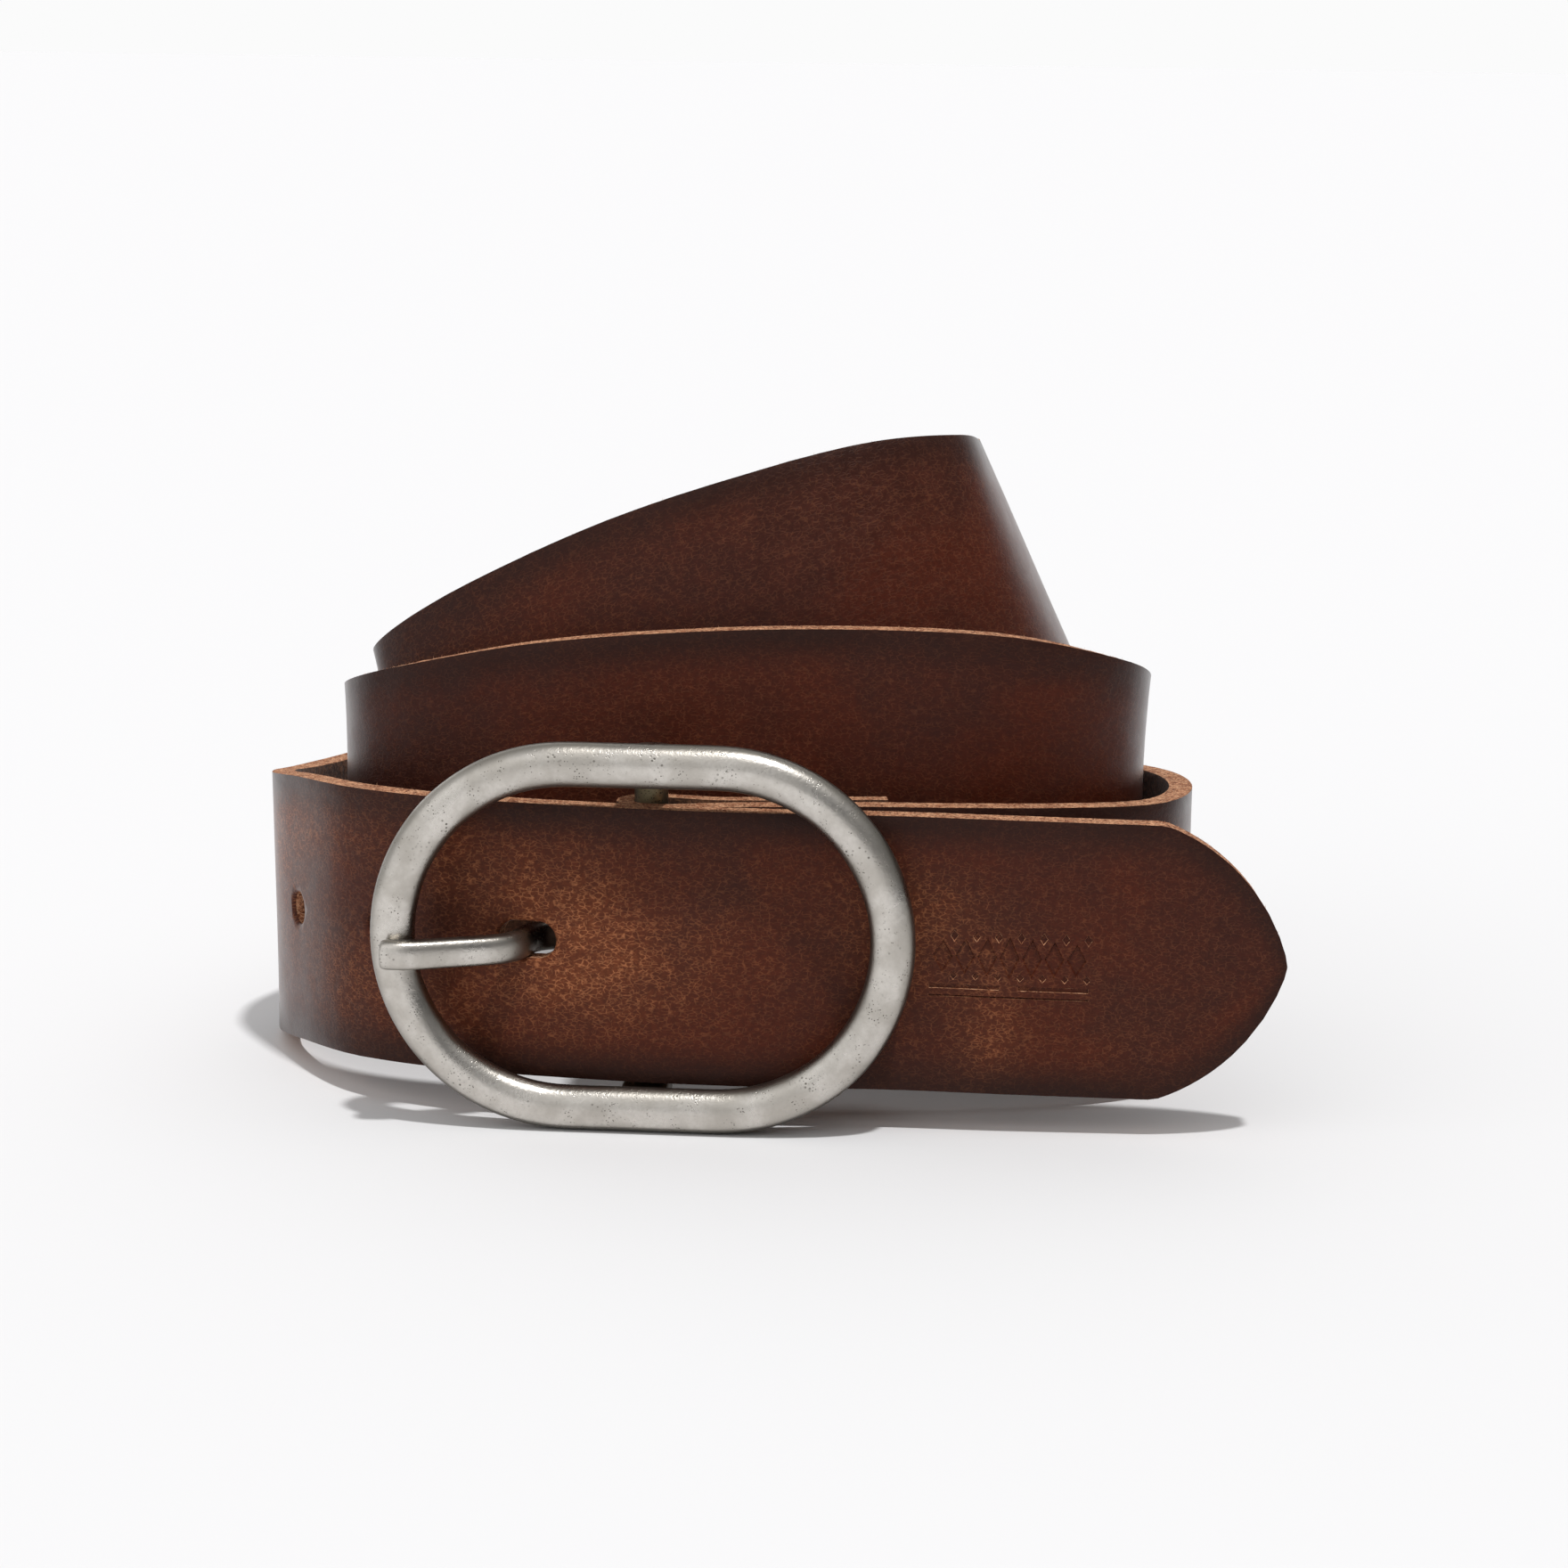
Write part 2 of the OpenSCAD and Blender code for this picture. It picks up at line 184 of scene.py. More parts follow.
path = [
    (Vector(p[:3]) * MM + HOME, math.radians(p[3]), p[4] * MM) for p in curve(STOPS, SPAN_STEPS)
]
reach = [0.0]
for (here, _, _), (there, _, _) in zip(path, path[1:]):
    reach.append(reach[-1] + (there - here).length)
print("length of the route, mm:", round(reach[-1] / MM, 1))

# %% Across the leather and out of it, at each point of the path


def directions(i):
    before, after = path[max(i - 1, 0)][0], path[min(i + 1, len(path) - 1)][0]
    along = (after - before).normalized()
    out_flat = along.cross(Vector((0, 0, 1))).normalized()
    up_flat = out_flat.cross(along)
    lean = path[i][1]
    across = up_flat * math.cos(lean) + out_flat * math.sin(lean)
    return across, along.cross(across)


frames = [directions(i) for i in range(len(path))]


def find(s):
    """The path step that holds the distance s."""
    return min(max(bisect.bisect_right(reach, s) - 1, 0), len(reach) - 2)


def on_route(s, w, h):
    """Carries a point of the flat strap (along, across, out) to its place in the coil."""
    i = find(s)
    u = (s - reach[i]) / (reach[i + 1] - reach[i])
    middle = path[i][0].lerp(path[i + 1][0], u)
    across = frames[i][0].lerp(frames[i + 1][0], u).normalized()
    outward = frames[i][1].lerp(frames[i + 1][1], u).normalized()
    thick = path[i][2] * (1 - u) + path[i + 1][2] * u
    return middle + across * w + outward * h * thick / STRAP_T


def where(x, after):
    """How far along the strap its middle passes x millimetres, past the distance after."""
    target = x * MM + HOME.x
    for i, (point, _, _) in enumerate(path):
        if reach[i] > after and point.x >= target:
            return reach[i]
    return reach[-1]


FRONT_LAYER = 900 * MM  # past this distance the strap runs along the front for the last time
tip_s = where(TIP_X, FRONT_LAYER)
worn_s = where(WORN_X, FRONT_LAYER)
print("tip at, mm:", round(tip_s / MM, 1), " hole in use at:", round(worn_s / MM, 1))
print("outward at the front:", [round(c, 2) for c in frames[find(worn_s)][1]])

# %% [markdown]
# ## Cutting the strap flat
#
# A belt maker cuts a straight strip from the hide, shapes the tip with a punch, and
# punches the holes while the strip lies flat. The mesh is made the same way: a fine
# grid is the strip, its end is drawn in to the two curves of the tip, and an extrusion
# gives it thickness. The rims get a small bevel, because a punched edge is never sharp.
# The grid is fine because the leather will be bent and cut; near the tip its rows are
# drawn closer together, so the nose comes out round.

# %% The flat strip, with its outline
HALF_W, HALF_T = STRAP_W / 2, STRAP_T / 2
TIP_R = 27 * MM
TIP_SIDE = TIP_R - HALF_W - 1.5 * MM
TIP_REACH = math.sqrt(TIP_R**2 - TIP_SIDE**2)
TIP_NOSE = 4 * MM
# how far behind the point the nose has its centre, where it begins, and its front
NOSE_BACK = TIP_REACH - math.sqrt((TIP_R - TIP_NOSE) ** 2 - TIP_SIDE**2)
NOSE_JOIN = TIP_REACH - TIP_R * (TIP_REACH - NOSE_BACK) / (TIP_R - TIP_NOSE)
NOSE_FRONT = NOSE_BACK - TIP_NOSE
ROWS, COLUMNS = 760, 22
FINE_END = 6 * MM
RIM_ROUND = 0.32 * MM
SHARP = 0.8  # radians between two faces that meet in a corner


def half_width(s):
    """Half the width of the strip at the distance s: two curves that meet in a round nose."""
    back = tip_s - s
    if back >= TIP_REACH:
        return HALF_W
    if back < NOSE_JOIN:
        return max(math.sqrt(max(TIP_NOSE**2 - (NOSE_BACK - back) ** 2, 0)), 0.1 * MM)
    return min(HALF_W, math.sqrt(TIP_R**2 - (TIP_REACH - back) ** 2) - TIP_SIDE)


def verts_of(geom):
    return [g for g in geom if isinstance(g, bmesh.types.BMVert)]


def edges_of(geom):
    return [g for g in geom if isinstance(g, bmesh.types.BMEdge)]


strip = bmesh.new()
middle = Matrix.Translation((tip_s / 2, 0, -HALF_T)) @ Matrix.Diagonal((tip_s, STRAP_W, 1, 1))
bmesh.ops.create_grid(strip, x_segments=ROWS, y_segments=COLUMNS, size=0.5, matrix=middle)
for v in strip.verts:
    back = tip_s - v.co.x
    if back < FINE_END:
        v.co.x = tip_s - NOSE_FRONT - (FINE_END - NOSE_FRONT) * (back / FINE_END) ** 2
    v.co.y *= half_width(v.co.x) / HALF_W
top_skin = bmesh.ops.extrude_face_region(strip, geom=strip.faces[:])["geom"]
bmesh.ops.translate(strip, vec=(0, 0, STRAP_T), verts=verts_of(top_skin))
bmesh.ops.recalc_face_normals(strip, faces=strip.faces[:])
upright = [e for e in strip.edges if abs(e.verts[0].co.z - e.verts[1].co.z) > HALF_T]
bmesh.ops.subdivide_edges(strip, edges=upright, cuts=4, use_grid_fill=True)
rims = [
    e for e in strip.edges
    if e.calc_face_angle(0) > SHARP and all(abs(v.co.z) > 0.99 * HALF_T for v in e.verts)
]
bmesh.ops.bevel(
    strip, geom=rims, offset=RIM_ROUND, segments=2, profile=0.5, affect="EDGES", material=-1,
    clamp_overlap=True,
)
print("flat strip:", len(strip.faces), "faces,", len(rims), "rim edges bevelled")

# %% [markdown]
# ## Holes and the maker's mark
#
# Punched holes have walls of bare leather and a lip that the punch pulled down a little,
# so each cutter is a spun profile that flares at the top. The hole in use is drawn out
# along the strap by the prong. The mark near the tip is pressed in by a heated die; here
# it is a plain ornament of lozenges over two bars and a thin line. A bump map could fake
# it, but cut geometry catches the light and stays in the mesh itself. All tools are
# cut with one Boolean while the strip is flat, where they meet it squarely.

# %% Cutters
cutters = bmesh.new()


def join(whole, part):
    """Copies one bmesh into another and frees it."""
    scrap = bpy.data.meshes.new("scrap")
    part.to_mesh(scrap)
    part.free()
    whole.from_mesh(scrap)
    bpy.data.meshes.remove(scrap)


def add_punch(s, diameter, length=None):
    """A round punch on the middle line, or an oval one of the given length, with a flared lip."""
    shank = diameter / 2 / MM
    lip = shank + 0.45
    profile = [(0, -2.6), (shank, -2.6), (shank, 1.15), (shank + 0.12, 1.45), (lip, 1.66),
               (lip, 2.6), (0, 2.6)]
    tool = bmesh.new()
    points = [tool.verts.new((x * MM, 0, z * MM)) for x, z in profile]
    edges = [tool.edges.new(pair) for pair in zip(points, points[1:])]
    bmesh.ops.spin(
        tool, geom=points + edges, cent=(0, 0, 0), axis=(0, 0, 1), angle=math.tau, steps=28,
        use_merge=True,
    )
    bmesh.ops.remove_doubles(tool, verts=tool.verts[:], dist=1e-6)
    bmesh.ops.recalc_face_normals(tool, faces=tool.faces[:])
    if length:
        for v in tool.verts:
            if abs(v.co.x) > 1e-6:
                v.co.x += math.copysign((length - diameter) / 2, v.co.x)
    bmesh.ops.translate(tool, vec=(s, 0, 0), verts=tool.verts[:])
    join(cutters, tool)


def press(tool, s, w, length, width, depth):
    """Sizes a die one unit tall and sets it so deep in the grain side."""
    place_there = Matrix.Translation((s, w, HALF_T - depth))
    size = Matrix.Diagonal((length, width, 3 * depth, 1))
    bmesh.ops.transform(tool, matrix=place_there @ size, verts=tool.verts[:])
    join(cutters, tool)


def add_lozenge(s, w, length, width, depth=0.3 * MM):
    """A four-sided stub with steep sides that presses a lozenge."""
    tool = bmesh.new()
    bmesh.ops.create_cone(
        tool, cap_ends=True, segments=4, radius1=0.4, radius2=0.6, depth=1,
        matrix=Matrix.Translation((0, 0, 0.5)),
    )
    press(tool, s, w, length, width, depth)


def add_line(s, w, length, width, depth=0.28 * MM):
    """A bar with sloping sides that presses a straight line."""
    tool = bmesh.new()
    bmesh.ops.create_cube(tool, size=1, matrix=Matrix.Translation((0, 0, 0.5)))
    for v in tool.verts:
        if v.co.z < 0.5:
            v.co.x *= 0.985
            v.co.y *= 0.6
    press(tool, s, w, length, width, depth)


MORE_HOLES = 4
hole_s = [where(PUNCHED_X, FRONT_LAYER) - (k + 1) * HOLE_PITCH for k in range(MORE_HOLES)]
print("punched holes at, mm:", [round(s / MM) for s in hole_s])

# %% Set the punches and the dies
add_punch(worn_s, WORN_D, WORN_LEN)
for s in hole_s:
    add_punch(s, HOLE_D)
MARK_S, MARK_W = tip_s - 37.5 * MM, -1.2 * MM
MARK_STEP = 3 * MM
for k in range(-3, 4):
    tall = (6.4 - 0.5 * abs(k)) * MM
    add_lozenge(MARK_S + k * MARK_STEP, MARK_W + 1.2 * MM, 2.9 * MM, tall)
    between = MARK_S + (k + 0.5) * MARK_STEP
    add_lozenge(between, MARK_W + 4 * MM, 1.2 * MM, 1.8 * MM, 0.24 * MM)
    add_lozenge(between, MARK_W - 1.5 * MM, 1.1 * MM, 1.3 * MM, 0.24 * MM)
for side in (-1, 1):
    add_line(MARK_S + side * 6 * MM, MARK_W - 3 * MM, 9.6 * MM, 0.9 * MM)
add_line(MARK_S, MARK_W - 4.3 * MM, 22 * MM, 0.3 * MM, 0.24 * MM)
print("cutters:", len(cutters.faces), "faces")

# %% Cut the strap


def to_object(bm, name):
    """Turns a bmesh into an object of its own at the origin."""
    mesh = bpy.data.meshes.new(name)
    bm.to_mesh(mesh)
    bm.free()
    thing = bpy.data.objects.new(name, mesh)
    bpy.context.scene.collection.objects.link(thing)
    return thing


def cut_away(thing, tools):
    """Cuts the tools out of a piece and makes the result its mesh."""
    boolean = thing.modifiers.new("cut", "BOOLEAN")
    boolean.operation = "DIFFERENCE"
    boolean.solver = "EXACT"
    boolean.use_self = True
    boolean.object = tools
    graph = bpy.context.evaluated_depsgraph_get()
    graph.update()
    made = bpy.data.meshes.new_from_object(thing.evaluated_get(graph))
    thing.modifiers.clear()
    thing.data = made
    bpy.data.objects.remove(tools)


strap = to_object(strip, "belt_strap")
cut_away(strap, to_object(cutters, "punches"))
print("strap after the punches:", len(strap.data.polygons), "faces")

# %% [markdown]
# ## Skins, wear and the cut edge
#
# A strap has three surfaces: the dyed grain, the raw cut edge, and the rough flesh side.
# Each becomes a material slot, chosen by which way a face looks while the strap is flat.
# The UV map holds the flat position in metres, so every pattern keeps its real scale and
# bends with the leather. Two attributes are stored too: how close a point is to a rim,
# where a maker burnishes the leather dark, and how pale the leather is made. Oiled leather
# turns pale and shows its creases where it has been flexed or scuffed; the strongest pale
# patch, just past the hole in use, is a painted highlight on the bulge of the strap there.

# %% Store the flat position, the rim distance, and the paleness from scuffing with its painted highlight
GRAIN, EDGE, FLESH = range(3)
# along, across, half length, half width (mm) and strength of each pale patch; the one at
# 958 mm is a painted highlight on the bulge past the hole in use, the others are scuffs
RUBBED_AND_LIT = [
    (958, 1, 8, 9, 1.0), (966, -4, 12, 7, 0.5), (945, 9, 9, 6, 0.45), (944, -9, 8, 6, 0.35),
    (1005, 6, 8, 5, 0.34), (1016, -9, 3.5, 9, 0.45), (1004, 1, 7, 8, 0.35), (910, 12, 14, 5, 0.6),
    (902, -2, 16, 9, 0.35), (898, 8, 10, 6, 0.4), (925, -8, 12, 7, 0.35), (985, 6, 20, 10, 0.12),
]


def patch(s, w, at_s, at_w, half_s, half_w, strength):
    """A soft-edged pale oval; one of them is a painted highlight."""
    reach2 = ((s - at_s) / half_s) ** 2 + ((w - at_w) / half_w) ** 2
    return strength * math.exp(-0.9 * reach2)


def wear_and_highlight_at(s, w):
    worn_and_lit = sum(patch(s / MM, w / MM, *pale_patch) for pale_patch in RUBBED_AND_LIT)
    slow = noise.noise(Vector((s * 18, w * 30, 4.2))) * 0.5 + 0.5
    return min(1.0, worn_and_lit + 0.22 * max(slow - 0.35, 0))


def name_skins(mesh):
    """Sets slots, UV map and attributes from the flat coordinates."""
    uv = mesh.uv_layers.new(name="strap_uv")
    rim = mesh.attributes.new("rim", "FLOAT", "POINT")
    wear_and_highlight = mesh.attributes.new("wear_and_highlight", "FLOAT", "POINT")
    for v in mesh.vertices:
        s, w, _ = v.co
        rim.data[v.index].value = max(half_width(s) - abs(w), 0) / MM
        wear_and_highlight.data[v.index].value = wear_and_highlight_at(s, w)
    for face in mesh.polygons:
        up = face.normal.z
        face.material_index = GRAIN if up > 0.35 else FLESH if up < -0.35 else EDGE
        for loop in face.loop_indices:
            s, w, h = mesh.vertices[mesh.loops[loop].vertex_index].co
            down = (HALF_T - h) * math.copysign(1, w) if face.material_index != GRAIN else 0
            uv.data[loop].uv = (s, w + down)
        face.use_smooth = True
    mesh.set_sharp_from_angle(angle=math.radians(38))  # the dies leave crisp corners


name_skins(strap.data)
print("faces by skin:", [sum(f.material_index == k for f in strap.data.polygons) for k in range(3)])

# %% [markdown]
# ## Rough edges and gentle waves, then rolling the strap
#
# Raw leather is a felt of fibres, so the cut wall is pushed in and out by fine noise, and
# the whole strap gets waves of a tenth of a millimetre. A Displace modifier works on the
# finished shape; here the noise has to know the flat strap, so it is added point by
# point just before that point is carried to its place on the route.

# %% Roughen, then roll


def roughen(co, side):
    """How far fine noise moves a point of the cut wall across the strap."""
    fine = noise.noise(co / (0.55 * MM)) + 0.6 * noise.noise(co / (0.23 * MM))
    return side * 0.13 * MM * fine


wall = set()
for face in strap.data.polygons:
    if face.material_index == EDGE:
        wall.update(face.vertices)
for v in strap.data.vertices:
    co = v.co.copy()
    wave = 0.12 * MM * noise.noise(Vector((co.x * 60, co.y * 60, 1.7)))
    if v.index in wall and abs(co.z) < 0.97 * HALF_T and abs(co.y) > 0.5 * half_width(co.x):
        co.y += roughen(co, math.copysign(1, co.y))
        co.z += 0.05 * MM * noise.noise(co / (0.4 * MM) + Vector((9, 0, 0)))
    elif v.index in wall:
        co.y += 0.25 * roughen(co, 1)
    v.co = on_route(co.x, co.y, co.z + wave)
strap.data.update()
box = [v.co for v in strap.data.vertices]
print("rolled, mm:", [round((max(c[k] for c in box) - min(c[k] for c in box)) / MM, 1) for k in range(3)])
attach(strap, "leather")
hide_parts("strap")

# %% [markdown]
# ## Loose fibres
#
# Fibres stand out of a cut wall like stubble. Hair curves would show them too, but real
# geometry is part of the mesh itself. One three-sided spike is copied to random
# places on the two long walls, leaned at random, and carried to the route with the same
# rule as the strap. The seed is fixed, so they grow in the same places each time.

# %% One spike, and a row of its copies
FIBRES = 9000
chance = random.Random(11)
fluff = bmesh.new()
bmesh.ops.create_cone(
    fluff, cap_ends=False, segments=3, radius1=1, radius2=0, depth=1, matrix=Matrix.Translation((0, 0, 0.5))
)
bmesh.ops.remove_doubles(fluff, verts=fluff.verts[:], dist=1e-4)
# a long row of spikes: each round copies the whole row and sets it after itself
APART, row = 2, 1
while row < FIBRES:
    copy = bmesh.ops.duplicate(fluff, geom=fluff.verts[:] + fluff.edges[:] + fluff.faces[:])["geom"]
    bmesh.ops.translate(fluff, vec=(row * APART, 0, 0), verts=verts_of(copy))
    row *= 2
surplus = [v for v in fluff.verts if v.co.x > (FIBRES - 0.5) * APART]
bmesh.ops.delete(fluff, geom=surplus, context="VERTS")
print("spikes in the row:", len(fluff.faces) // 3)

# %% Plant the spikes along both walls
grow = []
for s in sorted(chance.uniform(2 * MM, tip_s - 1 * MM) for _ in range(FIBRES)):
    side = chance.choice((-1, 1))
    w = side * (half_width(s) - 0.1 * MM)
    h = chance.uniform(-0.85, 0.85) * HALF_T
    length = chance.uniform(0.15, 0.5) * MM
    thick = chance.uniform(0.02, 0.04) * MM
    along = chance.uniform(-0.6, 0.6) * length
    away = side * (0.1 * MM + length * chance.uniform(0.3, 1))
    rise = chance.uniform(-0.6, 0.6) * length
    # the spike's own x, y and z become the columns: two sides of its root, then its lean
    grow.append(Matrix(((thick, 0, along, s), (0, 0, away, w), (0, thick, rise, h), (0, 0, 0, 1))))
for v in fluff.verts:
    k = round(v.co.x / APART)
    v.co = on_route(*(grow[k] @ (v.co - Vector((k * APART, 0, 0)))))
bmesh.ops.recalc_face_normals(fluff, faces=fluff.faces[:])
fibres = to_object(fluff, "edge_fibres")
print("fibres:", FIBRES, "with", len(fibres.data.polygons), "faces")
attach(fibres, "leather")

# %% [markdown]
# ## The buckle frame
#
# The frame is a cast ring with an oval section, drawn out into a racetrack, with two lugs
# behind it that hold the bar. A torus has no straight runs, so an oval section is swept
# just as the ring is drawn: half a turn, a straight, half a turn, and a straight.
# Tumbling after casting leaves the ring slightly uneven, so its skin gets small slow
# waves. One level of subdivision makes the finished pieces round.

# %% Sizes of the metal parts
RIM_W, RIM_T, SIDE_GAP = 6.2, 5.0, 1.6
BUCKLE_W, BUCKLE_H = 74.0, STRAP_W / MM + 2 * (RIM_W + SIDE_GAP)
BAR_Z = BUCKLE_H / 2
RIM_R, RIM_RUN = BUCKLE_H / 2 - RIM_W / 2, (BUCKLE_W - BUCKLE_H) / 2
LUG_W, LUG_H, LUG_LOW, LUG_ROOT = 6.4, 2.8, 2.4, 0.6
BAR_D = 4.6


def finish_metal(bm, name, node, body):
    """Scales a piece from millimetres, puts it in its place and hands it to the frame."""
    bmesh.ops.remove_doubles(bm, verts=bm.verts[:], dist=1e-4)
    bmesh.ops.recalc_face_normals(bm, faces=bm.faces[:])
    for face in bm.faces:
        face.smooth = True
    bmesh.ops.transform(bm, matrix=Matrix.Translation(HOME) @ Matrix.Scale(MM, 4), verts=bm.verts[:])
    piece = to_object(bm, name)
    smooth = piece.modifiers.new("smooth", "SUBSURF")
    smooth.levels = smooth.render_levels = 1
    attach(piece, body)
    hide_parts(node)
    return piece


def extrude_loop(bm, loop):
    """Extrudes a loop of edges and returns the new loop, as vertices and edges."""
    made = bmesh.ops.extrude_edge_only(bm, edges=edges_of(loop))["geom"]
    fresh = verts_of(made)
    return fresh + [e for e in edges_of(made) if all(v in fresh for v in e.verts)]


# %% The racetrack ring
ring = bmesh.new()
bmesh.ops.create_circle(ring, cap_ends=False, segments=20, radius=1)
bmesh.ops.transform(ring, matrix=Matrix.Diagonal((RIM_W / 2, RIM_T / 2, 1, 1)), verts=ring.verts[:])
stand = Matrix.Translation((RIM_RUN, 0, BAR_Z - RIM_R)) @ Matrix.Rotation(math.pi / 2, 4, "Y")
bmesh.ops.transform(ring, matrix=stand, verts=ring.verts[:])
last = ring.verts[:] + ring.edges[:]
STRAIGHT_STEPS = 8
for side in (1, -1):
    last = bmesh.ops.spin(
        ring, geom=last, cent=(side * RIM_RUN, 0, BAR_Z), axis=(0, -1, 0), angle=math.pi, steps=32,
    )["geom_last"]
    for step in range(STRAIGHT_STEPS):
        last = extrude_loop(ring, last)
        bmesh.ops.translate(ring, vec=(-side * 2 * RIM_RUN / STRAIGHT_STEPS, 0, 0), verts=verts_of(last))
bmesh.ops.remove_doubles(ring, verts=ring.verts[:], dist=1e-3)
bmesh.ops.recalc_face_normals(ring, faces=ring.faces[:])
ring.normal_update()
for v in ring.verts:
    v.co += v.normal * (0.02 * noise.noise(v.co * 0.12) + 0.004 * noise.noise(v.co * 0.5))
# one dent from a knock
DENT, DENT_DEPTH, DENT_R = Vector((-24.2, -1.2, 13.2)), 0.55, 1.5
for v in ring.verts:
    v.co -= v.normal * DENT_DEPTH * math.exp(-((v.co - DENT).length / DENT_R) ** 2)
print("ring:", len(ring.faces), "faces")

# %% The two lugs behind the ring
for low in (LUG_LOW, BUCKLE_H - LUG_LOW - LUG_H):
    plate = bmesh.new()
    corner = plate.verts.new((LUG_W / 2, LUG_ROOT, low))
    arm = plate.verts.new((LUG_W / 2, BAR_BACK, low))
    plate.edges.new((corner, arm))
    bmesh.ops.spin(plate, geom=[arm], cent=(0, BAR_BACK, low), axis=(0, 0, 1), angle=math.pi, steps=14)
    plate.verts.ensure_lookup_table()
    tip_end = min(plate.verts, key=lambda v: (round(v.co.x, 3), v.co.y))
    back = plate.verts.new((-LUG_W / 2, LUG_ROOT, low))
    plate.edges.new((tip_end, back))
    plate.edges.new((back, corner))
    bmesh.ops.contextual_create(plate, geom=plate.edges[:])
    lid = bmesh.ops.extrude_face_region(plate, geom=plate.faces[:])["geom"]
    bmesh.ops.translate(plate, vec=(0, 0, LUG_H), verts=verts_of(lid))
    bmesh.ops.recalc_face_normals(plate, faces=plate.faces[:])
    sharp = [e for e in plate.edges if e.calc_face_angle(0) > SHARP]
    bmesh.ops.bevel(
        plate, geom=sharp, offset=0.5, segments=3, profile=0.5, affect="EDGES", material=-1,
        clamp_overlap=True,
    )
    join(ring, plate)
frame_piece = finish_metal(ring, "buckle_ring", "buckle_frame", "buckle")
print("buckle frame, mm:", [round(c / MM, 1) for c in frame_piece.dimensions])

# %% [markdown]
# ## The prong
#
# The prong is a bar of half-round wire, bent into an eye at one end. Its round-cornered
# section is carried along the bend of its middle line by extruding one ring after
# another, and the last rings shrink to make the blunt rounded end that rests on the rim.
# A curve with a bevel shape would bend it as well, but couldn't round off its end.

# %% The bend of the prong
PRONG_W, PRONG_T, EYE_WALL, RUN_GAP = 4.3, 3.2, 1.35, 0.06
RIM_MID = BUCKLE_W / 2 - RIM_W / 2
PRONG_REST = -RIM_T / 2 - PRONG_T / 2 - 0.05
PRONG_BENDS = [
    (-BAR_D / 2 - RUN_GAP - EYE_WALL / 2, 11.7), (-6.5, 11.6), (-10.8, 11.2),
    (WORN_X + 2.5, 9.9), (WORN_X + 0.7, 7.6), (WORN_X, 5.2), (WORN_X - 0.6, 3.2),
    (WORN_X - 2.1, 1.3), (WORN_X - 4.9, -0.3), (WORN_X - 9.1, -2),
    (-RIM_MID + 4.1, PRONG_REST + 0.6), (-RIM_MID + 1.8, PRONG_REST), (-RIM_MID, PRONG_REST),
]
line = [Vector((x, y, FRONT_Z)) for x, y in curve(PRONG_BENDS, 4)]
tongue = bmesh.new()
bmesh.ops.create_circle(tongue, cap_ends=False, segments=20, radius=1)
SQUARENESS, TRIM = 0.45, 0.96
for v in tongue.verts:
    reach_out = max(abs(v.co.x), abs(v.co.y)) ** SQUARENESS
    v.co = Vector((v.co.x * PRONG_T / 2, v.co.y * PRONG_W / 2, 0)) / reach_out * TRIM
section = tongue.verts[:] + tongue.edges[:]


def station(k):
    """Where the section stands at step k, turned square to the bend."""
    forward = (line[min(k + 1, len(line) - 1)] - line[max(k - 1, 0)]).normalized()
    flat_side = forward.cross(Vector((0, 0, 1)))
    turn = Matrix((flat_side, Vector((0, 0, 1)), forward)).transposed().to_4x4()
    return Matrix.Translation(line[k]) @ turn


stations = [station(k) for k in range(len(line))]
end = stations[-1]
for shrink, push in ((0.97, 0.3), (0.9, 0.6), (0.76, 0.85), (0.5, 0.98)):
    smaller = Matrix.Diagonal((shrink, (1 + shrink) / 2, 1, 1))
    stations.append(end @ Matrix.Translation((0, 0, push)) @ smaller)
bmesh.ops.transform(tongue, matrix=stations[0], verts=tongue.verts[:])
for before, at in zip(stations, stations[1:]):
    section = extrude_loop(tongue, section)
    bmesh.ops.transform(tongue, matrix=at @ before.inverted(), verts=verts_of(section))
bmesh.ops.holes_fill(tongue, edges=tongue.edges[:], sides=24)

# %% The eye of the prong, a ring spun round the bar
eye = [
    tongue.verts.new((BAR_D / 2 + RUN_GAP + x, BAR_BACK, FRONT_Z + z))
    for x, z in ((0, -PRONG_W / 2 + 0.3), (0.3, -PRONG_W / 2), (EYE_WALL - 0.4, -PRONG_W / 2),
                 (EYE_WALL, -PRONG_W / 2 + 0.4), (EYE_WALL, PRONG_W / 2 - 0.4),
                 (EYE_WALL - 0.4, PRONG_W / 2), (0.3, PRONG_W / 2), (0, PRONG_W / 2 - 0.3))
]
loop = [tongue.edges.new((a, b)) for a, b in zip(eye, eye[1:] + eye[:1])]
bmesh.ops.spin(
    tongue, geom=eye + loop, cent=(0, BAR_BACK, 0), axis=(0, 0, 1), angle=math.tau, steps=32, use_merge=True,
)
prong_piece = finish_metal(tongue, "buckle_prong", "prong", "tongue")
print("prong, mm:", [round(c / MM, 1) for c in prong_piece.dimensions])

# %% [markdown]
# ## Building materials from small parts
#
# The finishes share a few effects: fine crease lines, soft mottling and little pits.
# Each is a node group with named inputs, made once and placed in every material with
# its own values. The groups give out only masks and heights. The shader itself stays in
# the material, where its fixed values are set straight on its sockets.

# %% Helpers for nodes


def feed(tree, socket, value):
    """Gives a socket a fixed value, or links another node's output to it."""
    if isinstance(value, bpy.types.NodeSocket):
        tree.links.new(value, socket)
    else:
        socket.default_value = value


def add(tree, kind, inputs=None, **settings):
    """Adds a node; inputs maps socket names or numbers to values or to other sockets."""
    node = tree.nodes.new("ShaderNode" + kind)
    for key, value in settings.items():
        setattr(node, key, value)
    for key, value in (inputs or {}).items():
        feed(tree, node.inputs[key], value)
    return node


